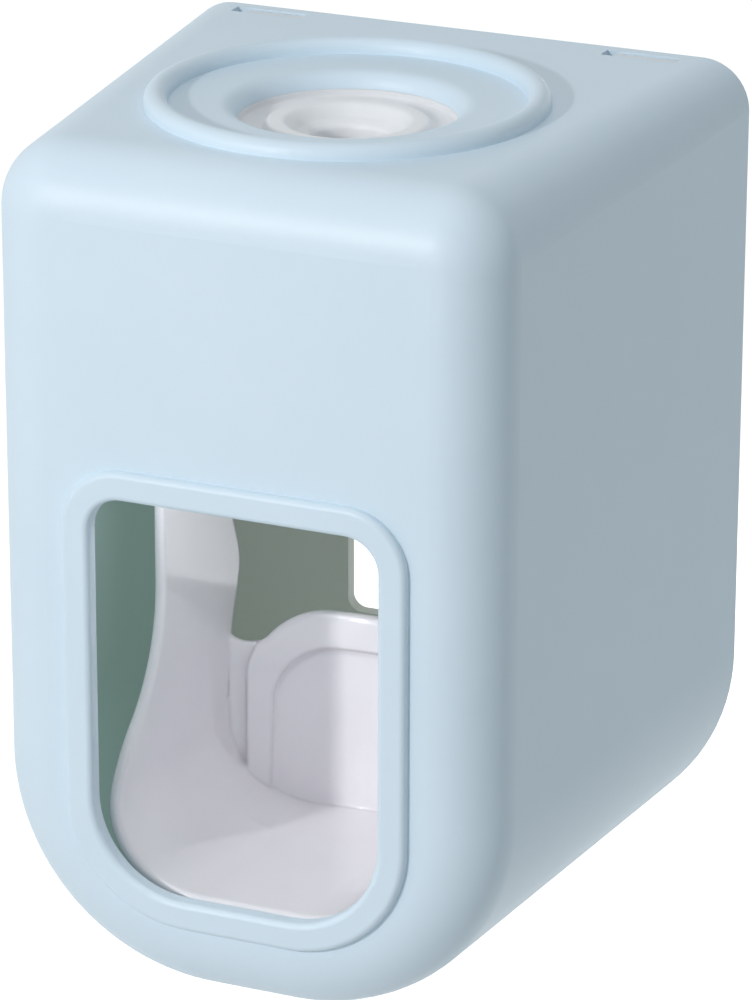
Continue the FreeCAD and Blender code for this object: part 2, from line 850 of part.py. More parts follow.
def push_lever():
    hollow_y = front_y + paddle_depth - paddle_hollow_radius
    tall = pivot_z - floor_low
    base = V(0, hollow_y, floor_low)
    hollow = Part.makeCylinder(paddle_hollow_radius, tall, base)
    backing = Part.makeCylinder(paddle_hollow_radius + paddle_wall, tall, base)
    sunk = Part.makeCylinder(paddle_hollow_radius + panel_recess, tall, base)
    last_depth = paddle_depth + 2 * paddle_wall
    floor_under = floor_front - lever_wall
    outside = scoop_run(lever_outer, floor_radius + lever_wall, floor_under, lip_depth, last_depth)
    room = scoop_run(lever_inner, floor_radius, floor_front, lip_depth - lever_wall, last_depth)
    floor_level = floor_front + floor_radius
    scoop = outside.common(backing).common(block(
        -rear_width, rear_width, front_y, 0, floor_low - floor_drop, floor_level
    )).cut(room.common(hollow))
    steps = lever_front_steps()
    bend_top = steps[-1][-1]
    behind_bend = outline(
        sideways(-rear_width),
        (lip_depth, floor_low - floor_drop),
        *steps,
        ((casing_depth, bend_top[1]),),
        ((casing_depth, floor_low - floor_drop),),
        ((lip_depth, floor_low - floor_drop),),
    ).extrude(V(2 * rear_width, 0, 0))
    arm = lever_arm()
    lever = scoop.common(behind_bend).fuse(arm).fuse(mirrored(arm)).removeSplitter()
    lever = lever.makeFillet(lip_edge_radius, front_edges(lever))
    through = V(0, casing_depth - arm_front_depth, 0)
    paddle = backing.cut(hollow).common(paddle_face().extrude(through))
    rim_edges = edges_on_drum(paddle, paddle_hollow_radius)
    rim_edges += edges_on_drum(paddle, paddle_hollow_radius + paddle_wall)
    rim_low = floor_front + web_height - slip
    rim_edges = [edge for edge in rim_edges if edge.BoundBox.ZMin > rim_low]
    lever = lever.fuse(paddle.makeFillet(paddle_edge_radius, rim_edges))
    panel = panel_face().extrude(through).common(sunk).common(room)
    panel_edges = edges_on_drum(panel, paddle_hollow_radius + panel_recess)
    panel_edges = [edge for edge in panel_edges if edge.BoundBox.ZMax > floor_level]
    panel = panel.makeFillet(panel_edge_radius, panel_edges)
    lever = lever.cut(panel)
    inner = Part.makeCylinder(paddle_hollow_radius - paddle_wall, tall, base)
    webs = Part.makeCylinder(paddle_hollow_radius + web_recess, tall, base).cut(inner).common(room)
    lever = lever.cut(webs.cut(arch_face().extrude(through)))
    lever = lever.cut(crossbar(pin_radius + slip, lever_outer, pivot_y, pivot_z))
    hole_y = (squeeze_front + squeeze_rear) / 2
    for z in peg_heights():
        lever = lever.cut(crossbar(peg_radius + slip, lever_outer, hole_y, z))
    return lever.removeSplitter()


def peg_heights():
    return [spring_z - peg_spacing / 2, spring_z + peg_spacing / 2]


def squeeze_plate():
    reach = lever_inner - move_gap
    plate = block(-reach, reach, squeeze_front, squeeze_rear, squeeze_bottom, squeeze_top)
    plate = plate.fuse(crossbar(shoe_radius, shoe_width / 2, shoe_y, spring_z))
    middle = (squeeze_front + squeeze_rear) / 2
    for z in peg_heights():
        plate = plate.fuse(crossbar(peg_radius, lever_outer, middle, z))
    for side in (-1, 1):
        post_end = V(side * spring_x, squeeze_rear + spring_post_length, spring_z)
        plate = plate.fuse(rod(spring_post_radius, V(side * spring_x, middle, spring_z), post_end))
    return plate.removeSplitter()


def pivot_pin():
    pin = crossbar(pin_radius, lever_outer + pin_overhang, pivot_y, pivot_z)
    for side in (-1, 1):
        near = side * (lever_outer + slip)
        far = side * (lever_outer + 3 * slip + clip_thickness)
        ring = rod(pin_radius + slip, V(near, pivot_y, pivot_z), V(far, pivot_y, pivot_z))
        core = rod(pin_radius - clip_groove_depth, V(near, pivot_y, pivot_z), V(far, pivot_y, pivot_z))
        pin = pin.cut(ring.cut(core))
    return pin


def pin_clips():
    near = lever_outer + 2 * slip
    far = near + clip_thickness
    clip = rod(clip_radius, V(near, pivot_y, pivot_z), V(far, pivot_y, pivot_z))
    bore = pin_radius - clip_groove_depth + slip
    clip = clip.cut(rod(bore, V(near, pivot_y, pivot_z), V(far, pivot_y, pivot_z)))
    half = clip_mouth / 2
    clip = clip.cut(block(near, far, pivot_y - half, pivot_y + half, pivot_z - clip_radius, pivot_z))
    return Part.makeCompound([clip, mirrored(clip)])


def pivot_washers():
    near = ear_outer + slip
    far = near + washer_thickness
    ring = rod(washer_radius, V(near, pivot_y, pivot_z), V(far, pivot_y, pivot_z))
    ring = ring.cut(rod(pin_radius + slip, V(near, pivot_y, pivot_z), V(far, pivot_y, pivot_z)))
    return Part.makeCompound([ring, mirrored(ring)])


def stop_bumpers():
    seat = V(bumper_x, prong_rear, bumper_z)
    pad = rod(bumper_radius, seat, seat + V(0, bumper_length, 0))
    stem = rod(bumper_stem_radius, seat - V(0, prong_width, 0), seat)
    bumper = pad.fuse(stem)
    return Part.makeCompound([bumper, mirrored(bumper)])


def helix_point(turn, start, pitch):
    angle = 2 * math.pi * turn
    across = V(spring_radius * math.cos(angle), 0, spring_radius * math.sin(angle))
    return start + across + V(0, pitch * turn, 0)


def helix_heading(turn, pitch):
    angle = 2 * math.pi * turn
    rim = 2 * math.pi * spring_radius
    return V(-rim * math.sin(angle), pitch, rim * math.cos(angle)).normalize()


def arc_middle(start, corner, end):
    """Middle of the arc that leaves start towards corner and arrives at end from it."""
    chord_middle = (start + end) / 2
    half_chord = start.distanceToPoint(end) / 2
    rise = corner - chord_middle
    lean = math.atan2(rise.Length, half_chord)
    return chord_middle + rise.normalize() * (half_chord * math.tan(lean / 2))


def biarc(start, start_heading, end, end_heading):
    """Two arcs, smooth where they meet, between two headings."""
    span = end - start
    both = start_heading + end_heading
    bend = 2 * (1 - start_heading.dot(end_heading))
    reach = (math.sqrt(span.dot(both) ** 2 + bend * span.dot(span)) - span.dot(both)) / bend
    first_corner = start + start_heading * reach
    last_corner = end - end_heading * reach
    meeting = (first_corner + last_corner) / 2
    first = Part.Arc(start, arc_middle(start, first_corner, meeting), meeting)
    last = Part.Arc(meeting, arc_middle(meeting, last_corner, end), end)
    return [first.toShape(), last.toShape()]


def return_springs():
    end_room = spring_wire / 2 + slip
    start = V(spring_x, squeeze_rear + end_room, spring_z)
    pitch = (frame_back - squeeze_rear - 2 * end_room) / spring_turns
    arcs = []
    for quarter in range(4 * spring_turns):
        here = quarter / 4
        there = (quarter + 1) / 4
        arcs += biarc(
            helix_point(here, start, pitch),
            helix_heading(here, pitch),
            helix_point(there, start, pitch),
            helix_heading(there, pitch),
        )
    tip = Part.makeCircle(spring_wire / 2, helix_point(0, start, pitch), helix_heading(0, pitch))
    spring = Part.Wire(arcs).makePipeShell([Part.Wire(tip)], True, False)
    steps = 24
    points = [helix_point(count / steps, start, pitch) for count in range(steps * spring_turns + 1)]
    gaps = [
        points[first].distanceToPoint(points[last]) - spring_wire
        for first in range(len(points))
        for last in range(first + steps // 2, len(points))
    ]
    print("least gap of a spring to itself:", round(min(gaps), 3), "mm")
    return Part.makeCompound([spring, spring.translated(V(-2 * spring_x, 0, 0))])


pieces = {
    "front_casing": front_casing,
    "back_cover": back_cover,
    "wall_plate": wall_plate,
    "adhesive_pad": adhesive_pad,
    "inlet_collar": inlet_collar,
    "inlet_seat": inlet_seat,
    "inlet_valve": inlet_valve,
    "pump_bulb": pump_bulb,
    "outlet_valve": outlet_valve,
    "outlet_nozzle": outlet_nozzle,
    "nozzle_seal": nozzle_seal,
    "nozzle_nut": nozzle_nut,
    "pump_frame": pump_frame,
    "frame_screws": frame_screws,
    "push_lever": push_lever,
    "squeeze_plate": squeeze_plate,
    "return_springs": return_springs,
    "pivot_pin": pivot_pin,
    "pin_clips": pin_clips,
    "pivot_washers": pivot_washers,
    "stop_bumpers": stop_bumpers,
}

os.makedirs("parts", exist_ok=True)
for name, make in pieces.items():
    piece = make()
    piece.translate(V(0, 0, -plate_middle))
    piece.exportStep("parts/" + name + ".step")
    state = "valid" if piece.isValid() else "INVALID"
    print(name, state, len(piece.Solids), "solids", round(piece.Volume, 1), "mm3")
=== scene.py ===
import json
import math

import bmesh
import bpy
from bpy.props import FloatProperty, FloatVectorProperty, IntProperty, PointerProperty
from mathutils import Matrix, Vector

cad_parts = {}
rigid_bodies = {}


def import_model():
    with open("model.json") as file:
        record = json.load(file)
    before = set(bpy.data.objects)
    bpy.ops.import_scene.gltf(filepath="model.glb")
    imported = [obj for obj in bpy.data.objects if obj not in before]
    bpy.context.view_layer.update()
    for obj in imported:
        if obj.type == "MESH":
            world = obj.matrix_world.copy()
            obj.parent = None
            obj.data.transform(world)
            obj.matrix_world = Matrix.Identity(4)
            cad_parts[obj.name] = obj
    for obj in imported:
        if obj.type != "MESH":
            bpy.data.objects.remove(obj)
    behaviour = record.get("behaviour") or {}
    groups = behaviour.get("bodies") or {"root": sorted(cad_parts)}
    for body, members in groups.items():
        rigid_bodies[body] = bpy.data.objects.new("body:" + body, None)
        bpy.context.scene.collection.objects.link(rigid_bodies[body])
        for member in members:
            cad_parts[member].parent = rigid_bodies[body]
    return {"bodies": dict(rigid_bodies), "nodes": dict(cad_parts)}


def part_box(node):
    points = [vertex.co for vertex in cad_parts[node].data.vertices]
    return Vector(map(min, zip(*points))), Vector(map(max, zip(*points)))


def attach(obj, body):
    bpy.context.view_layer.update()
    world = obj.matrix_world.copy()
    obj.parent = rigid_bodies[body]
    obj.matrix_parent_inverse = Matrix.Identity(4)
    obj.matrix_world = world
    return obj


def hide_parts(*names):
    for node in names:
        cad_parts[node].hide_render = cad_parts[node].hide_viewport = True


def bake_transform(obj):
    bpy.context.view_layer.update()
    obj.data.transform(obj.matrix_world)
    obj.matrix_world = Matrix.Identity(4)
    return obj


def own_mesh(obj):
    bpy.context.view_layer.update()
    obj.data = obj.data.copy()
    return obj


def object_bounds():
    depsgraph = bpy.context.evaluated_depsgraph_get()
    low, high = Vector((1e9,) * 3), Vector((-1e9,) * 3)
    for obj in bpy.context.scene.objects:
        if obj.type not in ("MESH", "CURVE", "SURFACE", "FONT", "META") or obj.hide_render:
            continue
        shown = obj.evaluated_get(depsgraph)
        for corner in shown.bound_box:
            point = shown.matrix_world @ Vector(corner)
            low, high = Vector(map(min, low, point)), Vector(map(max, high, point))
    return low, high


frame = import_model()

bl_info = {
    "name": "Toothpaste dispenser finish",
    "version": (1, 0, 0),
    "blender": (4, 5, 0),
    "location": "3D View > Sidebar > Dispenser",
    "description": "Gives the toothpaste dispenser its finishes, soft pieces, springs and studio",
    "category": "Object",
}

MM = 0.001

for stray in set(bpy.data.objects) - set(frame["nodes"].values()) - set(frame["bodies"].values()):
    bpy.data.objects.remove(stray)
cad_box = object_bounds()


def linear(code):
    """Linear colour of an sRGB hex code."""
    channels = [int(code[start:start + 2], 16) / 255 for start in (0, 2, 4)]
    return tuple(c / 12.92 if c <= 0.04045 else ((c + 0.055) / 1.055) ** 2.4 for c in channels)


def tint(name, code, description):
    """Colour property with an sRGB hex default."""
    return FloatVectorProperty(
        name=name, description=description, subtype="COLOR", size=3, min=0, max=1, default=linear(code)
    )


def size(name, millimetres, description):
    """Length property with a default in millimetres."""
    return FloatProperty(
        name=name, description=description, unit="LENGTH", precision=5, min=0, default=millimetres * MM
    )


def power(name, watts, description):
    """Lamp power with a default in watts."""
    return FloatProperty(name=name, description=description, unit="POWER", min=0, default=watts)


class DispenserColours(bpy.types.PropertyGroup):
    casing: tint("Casing", "DCEBF6", "Pale blue of the moulded casing")
    casing_flow: tint("Casing flow", "D6E6F2", "Slightly deeper blue where the plastic flowed slower")
    # Painted shade: this darker, greener colour on the casing's inner walls stands in for the shade inside the
    # casing.
    casing_inner_shade: tint("Casing inside", "9DB8B2", "Duller green blue of the casing's inner walls")
    lever: tint("Lever", "F6F3F7", "Cool white of the polished lever")
    lever_flow: tint("Lever flow", "F0EDF2", "Greyer flow marks in the lever")
    cover: tint("Cover", "E4E9EE", "White of the back cover and its snap tabs")
    cover_flow: tint("Cover flow", "DBE1E6", "Flow marks in the back cover")
    # Painted shade: this greyer colour on the cover's inner face stands in for the shade inside the casing.
    cover_inner_shade: tint("Cover inside", "B4B8B0", "Greyer inner face of the back cover")
    pump: tint("Pump", "EDEEEC", "Natural white of the hidden pump mouldings")
    pump_flow: tint("Pump flow", "E2E3DF", "Flow marks in the pump mouldings")
    collar: tint("Collar", "F7F7FB", "White silicone of the tube collar")
    bulb: tint("Bulb", "DCE3E4", "Milky silicone of the pump bulb and its valves")
    rubber: tint("Rubber", "1B1C1E", "Black rubber of the seal and the bumpers")
    foam: tint("Foam", "D9D8D2", "Off-white foam of the adhesive pad")
    nylon: tint("Nylon", "E3DFD2", "Warm white of the pivot washers")
    steel: tint("Steel", "BFC1C4", "Bare steel of the pin, clips, springs and screws")


class DispenserSizes(bpy.types.PropertyGroup):
    collar_bore: size("Collar bore", 4.9, "Radius of the hole that grips the tube's neck")
    collar_neck: size("Collar neck", 8.0, "Outer radius of the collar's neck")
    collar_hole: size("Casing hole", 14.0, "Radius of the hole in the casing above the collar")
    collar_disc: size("Collar disc", 10.2, "Radius of the raised disc round the bore")
    collar_flange: size("Collar flange", 2.0, "Thickness of the flange under the casing's top")
    collar_step: size("Collar step", 0.9, "Height of the disc above the ring round it")
    collar_dish: size("Collar dish", 1.6, "Depth of the dish that leads into the bore")
    bulb_wall: size("Bulb wall", 1.6, "Thickness of the bulb's wall")
    bulb_neck: size("Bulb neck", 8.8, "Outer radius of the bulb's neck")
    bulb_flange: size("Bulb flange", 1.5, "Thickness of the bulb's flange")
    bulb_foot: size("Bulb foot", 9.5, "Radius of the bulb where it stands on the shelf")
    bulb_bore: size("Bulb outlet", 3.2, "Radius of the bulb's outlet")
    bulb_plate: size("Frame plate", 2.4, "Thickness of the plate that the bulb's neck goes through")
    flap_radius: size("Flap radius", 3.6, "Radius of the inlet valve's flap")
    flap_slit: size("Flap slit", 0.5, "Width of the slit round the flap")
    bill_tube: size("Duckbill tube", 2.9, "Outer radius of the duckbill below its flange")
    bill_wall: size("Duckbill wall", 0.8, "Thickness of the duckbill's lips")
    wire: size("Spring wire", 0.7, "Diameter of the spring wire")
    coil: size("Spring coil", 2.6, "Radius of the coils at the middle of the wire")
    turns: IntProperty(name="Spring turns", description="Turns in each spring", min=1, default=9)
    bumper_stem: size("Bumper stem", 1.2, "Radius of the bumpers' stems")
    bumper_head: size("Bumper head", 2.0, "Length of the bumpers' heads")


class DispenserStage(bpy.types.PropertyGroup):
    camera_place: FloatVectorProperty(
        name="Camera place",
        description="Where the camera stands",
        subtype="XYZ",
        unit="LENGTH",
        default=(0.260553, -0.623791, 0.229575),
    )
    camera_turn: FloatProperty(
        name="Camera turn",
        description="How far to the right of straight ahead the camera stands",
        unit="ROTATION",
        default=math.radians(23.67),
    )
    camera_rise: FloatProperty(
        name="Camera rise",
        description="How steeply the camera looks down",
        unit="ROTATION",
        default=math.radians(20.45),
    )
    camera_roll: FloatProperty(
        name="Camera roll",
        description="Tilt of the picture",
        unit="ROTATION",
        default=math.radians(0.11),
    )
    lens: FloatProperty(
        name="Lens", description="Focal length on a 36 mm frame", unit="CAMERA", default=190.44
    )
    sky: FloatProperty(name="Sky light", description="Light from all round", min=0, default=0.35)
    key: power("Key light", 0.45, "Soft lamp to the left of the camera")
    beam: power("Beam", 1.7, "Small lamp that shines into the window")
    bay: power("Bay light", 0.009, "Small lamp above the brush bay")
    fill: power("Fill light", 1.7, "Soft lamp above")
    back: power("Back light", 2.0, "Soft lamp behind")
    floor_drop: size("Floor drop", 260, "How far the floor lies below the wall-hung dispenser")


def colours():
    return bpy.context.scene.dispenser_colours


def sizes():
    return bpy.context.scene.dispenser_sizes


def add(tree, kind, inputs=None, **settings):
    """Adds a node; each input takes a value or another node's output."""
    node = tree.nodes.new(kind)
    for name, value in settings.items():
        setattr(node, name, value)
    for name, value in (inputs or {}).items():
        if isinstance(value, bpy.types.NodeSocket):
            tree.links.new(value, node.inputs[name])
        else:
            node.inputs[name].default_value = value
    return node


def blank_material(name):
    """Material with an empty tree, and its Object coordinates."""
    material = bpy.data.materials.new(name)
    material.use_nodes = True
    tree = material.node_tree
    tree.nodes.clear()
    return material, tree, add(tree, "ShaderNodeTexCoord").outputs["Object"]


def solid_colour(value):
    return (*value, 1.0)


def spread(tree, factor, low, high):
    """A factor from 0 to 1 stretched between two values."""
    stretched = add(tree, "ShaderNodeMapRange", {"Value": factor, "To Min": low, "To Max": high})
    return stretched.outputs["Result"]


def mixed(tree, factor, first, second):
    """Two colours mixed by a factor."""
    return add(tree, "ShaderNodeMix", {0: factor, 6: first, 7: second}, data_type="RGBA").outputs[2]


def sum_of(tree, operation, first, second):
    """Result of a sum on two numbers."""
    return add(tree, "ShaderNodeMath", {0: first, 1: second}, operation=operation).outputs[0]


def seen_directly(tree):
    """1 for what the eye, a reflection or a clear body shows, and 0 for light on a surface."""
    path = add(tree, "ShaderNodeLightPath").outputs
    seen = sum_of(tree, "MAXIMUM", path["Is Camera Ray"], path["Is Glossy Ray"])
    return sum_of(tree, "MAXIMUM", seen, path["Is Transmission Ray"])


def noise(tree, place, millimetres, detail=2.0):
    """Noise whose blobs are about that wide."""
    return add(
        tree, "ShaderNodeTexNoise", {"Vector": place, "Scale": 1 / (millimetres * MM), "Detail": detail}
    ).outputs["Fac"]


def bumped(tree, height, millimetres, strength, below=None):
    """Surface tilt from a height pattern of that depth."""
    inputs = {"Height": height, "Distance": millimetres * MM, "Strength": strength}
    if below is not None:
        inputs["Normal"] = below
    return add(tree, "ShaderNodeBump", inputs).outputs["Normal"]


def finish(tree, inputs):
    """Shader and output of a material."""
    shader = add(tree, "ShaderNodeBsdfPrincipled", inputs)
    add(tree, "ShaderNodeOutputMaterial", {"Surface": shader.outputs["BSDF"]})


def satin_abs(name, colour, flow_colour, grain_mm, inside=None, glow=0.0):
    """ABS from a spark-eroded mould: an even satin skin whose fine grain breaks up highlights, with broad
    faint flow marks. The grain is drawn a little coarser than the real 0.1 mm so that it shows. Inner walls
    get painted shade, a darker greener colour, and a painted glow, an emission that stands in for the light
    they get inside the casing."""
    material, tree, place = blank_material(name)
    flow = noise(tree, place, 14.0, 3.0)
    grain = noise(tree, place, grain_mm, 2.0)
    base = mixed(tree, flow, solid_colour(colour), solid_colour(flow_colour))
    inputs = {
        "Base Color": base,
        "Roughness": spread(tree, grain, 0.40, 0.52),
        "IOR": 1.53,
        "Normal": bumped(tree, grain, 0.012, 0.35),
    }
    # Painted shade and painted light: on the inner walls the colour turns to the shade colour, and an emission
    # of that colour adds a painted glow.
    if inside is not None:
        inner = inner_wall_shade_mask(tree, place)
        inputs["Base Color"] = mixed(tree, inner, base, solid_colour(inside))
        inputs["Emission Color"] = solid_colour(inside)
        inputs["Emission Strength"] = spread(tree, inner, 0.0, glow)
    finish(tree, inputs)
    return material


def inner_wall_shade_mask(tree, place):
    """1 on the casing's inner walls and 0 outside: there the surface faces the casing's middle. It marks where
    the painted shade and painted glow go.
    """
    low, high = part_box("front_casing")
    middle = (low + high) / 2
    wall = 2.2 * MM
    away = add(tree, "ShaderNodeVectorMath", {0: place, 1: tuple(middle)}, operation="SUBTRACT").outputs[0]
    normal = add(tree, "ShaderNodeNewGeometry").outputs["Normal"]
    facing = add(tree, "ShaderNodeVectorMath", {0: away, 1: normal}, operation="DOT_PRODUCT")
    apart = add(tree, "ShaderNodeSeparateXYZ", {"Vector": place}).outputs
    inward = sum_of(tree, "LESS_THAN", facing.outputs["Value"], 0.0)
    behind = sum_of(tree, "GREATER_THAN", apart["Y"], low.y + 2 * wall)
    below = sum_of(tree, "LESS_THAN", apart["Z"], high.z - 3 * wall)
    return sum_of(tree, "MULTIPLY", sum_of(tree, "MULTIPLY", inward, behind), below)


def polished_abs(name, colour, flow_colour):
    """ABS from a polished mould: a clear gloss with slow ripples of a few micrometres that bend reflections,
    and edges eased by about a millimetre."""
    material, tree, place = blank_material(name)
    flow = noise(tree, place, 9.0, 3.0)
    ripple = noise(tree, place, 4.0, 1.0)
    eased = add(tree, "ShaderNodeBevel", {"Radius": 0.9 * MM}, samples=6).outputs["Normal"]
    finish(tree, {
        "Base Color": mixed(tree, flow, solid_colour(colour), solid_colour(flow_colour)),
        "Roughness": spread(tree, flow, 0.07, 0.13),
        "IOR": 1.54,
        "Normal": bumped(tree, ripple, 0.02, 0.25, eased),
    })
    return material


def silicone(name, colour, depth_mm, roughness):
    """Moulded silicone rubber: light goes in a little way, and the skin is smooth and faintly dusty."""
    material, tree, place = blank_material(name)
    bloom = noise(tree, place, 3.0, 4.0)
    finish(tree, {
        "Base Color": mixed(tree, bloom, solid_colour(colour), solid_colour([c * 0.96 for c in colour])),
        "Roughness": spread(tree, bloom, roughness - 0.06, roughness + 0.08),
        "IOR": 1.41,
        "Subsurface Weight": 0.6,
        "Subsurface Radius": (depth_mm * MM, depth_mm * MM, depth_mm * MM),
        "Subsurface Scale": 1.0,
        "Normal": bumped(tree, bloom, 0.02, 0.3),
    })
    return material


def rubber(name, colour):
    """Moulded black rubber: dull, with a fine pebbled skin and a greyer bloom."""
    material, tree, place = blank_material(name)
    bloom = noise(tree, place, 1.5, 4.0)
    pebble = noise(tree, place, 0.25, 2.0)
    finish(tree, {
        "Base Color": mixed(tree, bloom, solid_colour(colour), solid_colour([c * 1.6 for c in colour])),
        "Roughness": spread(tree, bloom, 0.55, 0.72),
        "IOR": 1.52,
        "Normal": bumped(tree, pebble, 0.02, 0.5),
    })
    return material


def foam_tape(name, colour):
    """Closed-cell foam tape: open cells about 0.3 mm wide along its cut edge and a dull skin."""
    material, tree, place = blank_material(name)
    cell = 0.35 * MM
    cells = add(tree, "ShaderNodeTexVoronoi", {"Vector": place, "Scale": 1 / cell}).outputs["Distance"]
    finish(tree, {
        "Base Color": mixed(tree, cells, solid_colour([c * 0.82 for c in colour]), solid_colour(colour)),
        "Roughness": 0.85,
        "IOR": 1.45,
        "Normal": bumped(tree, cells, 0.08, 0.6),
    })
    return material


def drawn_steel(name, colour, along, lines_mm):
    """Bare steel: bright metal with fine lines along the way it was drawn or turned."""
    material, tree, place = blank_material(name)
    stretch = [1 / (lines_mm * MM)] * 3
    stretch[along] = 1 / (20 * lines_mm * MM)
    drawn = add(tree, "ShaderNodeMapping", {"Vector": place, "Scale": stretch}, vector_type="POINT").outputs[0]
    lines = add(tree, "ShaderNodeTexNoise", {"Vector": drawn, "Scale": 1.0, "Detail": 2.0}).outputs["Fac"]
    finish(tree, {
        "Base Color": mixed(tree, lines, solid_colour([c * 0.85 for c in colour]), solid_colour(colour)),
        "Metallic": 1.0,
        "Roughness": spread(tree, lines, 0.22, 0.36),
        "Normal": bumped(tree, lines, 0.006, 0.4),
    })
    return material


def nylon(name, colour):
    """Turned nylon: waxy and slightly see-through, with fine tool rings."""
    material, tree, place = blank_material(name)
    wax = noise(tree, place, 0.6, 3.0)
    finish(tree, {
        "Base Color": mixed(tree, wax, solid_colour(colour), solid_colour([c * 0.93 for c in colour])),
        "Roughness": spread(tree, wax, 0.38, 0.5),
        "IOR": 1.53,
        "Subsurface Weight": 0.3,
        "Subsurface Radius": (0.5 * MM, 0.5 * MM, 0.4 * MM),
        "Subsurface Scale": 1.0,
        "Normal": bumped(tree, wax, 0.01, 0.3),
    })
    return material


def dress(node_name, material):
    """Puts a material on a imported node."""
    data = frame["nodes"][node_name].data
    data.materials.clear()
    data.materials.append(material)


def softened(corners, steps=5):
    """Points along a line through (radius, height, rounding) corners, each rounded by its own amount."""
    points = []
    count = len(corners)
    for index, (radius, height, rounding) in enumerate(corners):
        here = Vector((radius, height))
        if rounding <= 0:
            points.append(here)
            continue
        back = Vector(corners[index - 1][:2]) - here
        ahead = Vector(corners[(index + 1) % count][:2]) - here
        half = back.angle(ahead) / 2
        reach = min(rounding / math.tan(half), 0.49 * back.length, 0.49 * ahead.length)
        start = here + back.normalized() * reach
        end = here + ahead.normalized() * reach
        for step in range(steps + 1):
            share = step / steps
            points.append(start.lerp(here, share).lerp(here.lerp(end, share), share))
    return points


def turned(name, points, centre, steps=96):
    """Closed ring mesh turned about an upright axis through centre."""
    shape = bmesh.new()
    rows = []
    for step in range(steps):
        angle = 2 * math.pi * step / steps
        across = Vector((math.cos(angle), math.sin(angle), 0))
        rows.append([shape.verts.new(across * p[0] + Vector((centre.x, centre.y, p[1]))) for p in points])
    for step in range(steps):
        near, far = rows[step], rows[(step + 1) % steps]
        for index in range(len(points)):
            following = (index + 1) % len(points)
            shape.faces.new((near[index], near[following], far[following], far[index]))
    return from_bmesh(name, shape)


def from_bmesh(name, shape, sharp=40):
    """Object at the origin from a finished bmesh, smooth but for its sharp edges."""
    bmesh.ops.remove_doubles(shape, verts=shape.verts, dist=1e-7)
    bmesh.ops.recalc_face_normals(shape, faces=shape.faces)
    mesh = bpy.data.meshes.new(name)
    shape.to_mesh(mesh)
    shape.free()
    mesh.shade_smooth()
    mesh.set_sharp_from_angle(angle=math.radians(sharp))
    made = bpy.data.objects.new(name, mesh)
    bpy.context.scene.collection.objects.link(made)
    return made


def plain_mesh(name, made):
    """The object with its modifiers turned into a plain mesh."""
    bpy.context.view_layer.update()
    evaluated = made.evaluated_get(bpy.context.evaluated_depsgraph_get())
    mesh = bpy.data.meshes.new_from_object(evaluated)
    made.modifiers.clear()
    made.data = mesh
    mesh.name = name
    return made


def take(tree, kind, *names):
    """Adds named inputs of one kind to a node tree, and gives their identifiers."""
    sockets = [tree.interface.new_socket(name, in_out="INPUT", socket_type=kind) for name in names]
    return [socket.identifier for socket in sockets]


def give_copies(tree, places, instance, material):
    """Ends a node tree: copies of one piece on points, made real and given their material."""
    tree.interface.new_socket("Geometry", in_out="OUTPUT", socket_type="NodeSocketGeometry")
    copies = add(tree, "GeometryNodeInstanceOnPoints", {"Points": places, "Instance": instance})
    real = add(tree, "GeometryNodeRealizeInstances", {"Geometry": copies.outputs["Instances"]})
    painted = add(tree, "GeometryNodeSetMaterial", {
        "Geometry": real.outputs["Geometry"], "Material": material
    })
    add(tree, "NodeGroupOutput", {"Geometry": painted.outputs["Geometry"]})


def grown(name, tree, values):
    """Plain mesh that a node tree makes from values by socket identifier."""
    made = bpy.data.objects.new(name, bpy.data.meshes.new(name))
    bpy.context.scene.collection.objects.link(made)
    modifier = made.modifiers.new("Nodes", "NODES")
    modifier.node_group = tree
    for key, value in values.items():
        modifier[key] = value
    return plain_mesh(name, made)


def settle(made, body, material, slot, *nodes):
    """Gives a finished piece its material, its body and the nodes that it stands for."""
    made.data.materials.clear()
    made.data.materials.append(material)
    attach(made, body)
    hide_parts(*nodes)


def middle_of(node_name):
    low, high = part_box(node_name)
    return (low + high) / 2


class DISPENSER_OT_casing(bpy.types.Operator):
    """Finishes the casing and its back cover"""
    bl_idname = "dispenser.casing"
    bl_label = "Casing and cover"

    def execute(self, context):
        tone = colours()
        # Both materials get painted shade on their inner walls and a painted glow of emission, 0.17 and 0.21
        # strong.
        dress("front_casing", satin_abs(
            "Satin ABS, pale blue", tone.casing, tone.casing_flow, 0.22, tone.casing_inner_shade, 0.17
        ))
        dress("back_cover", satin_abs(
            "Satin ABS, white cover", tone.cover, tone.cover_flow, 0.25, tone.cover_inner_shade, 0.21
        ))
        return {"FINISHED"}


class DISPENSER_OT_lever(bpy.types.Operator):
    """Finishes the push lever and its squeeze plate"""
    bl_idname = "dispenser.lever"
    bl_label = "Push lever"

    def execute(self, context):
        tone = colours()
        gloss = polished_abs("Polished ABS, cool white", tone.lever, tone.lever_flow)
        for name in ("push_lever", "squeeze_plate"):
            dress(name, gloss)
        return {"FINISHED"}


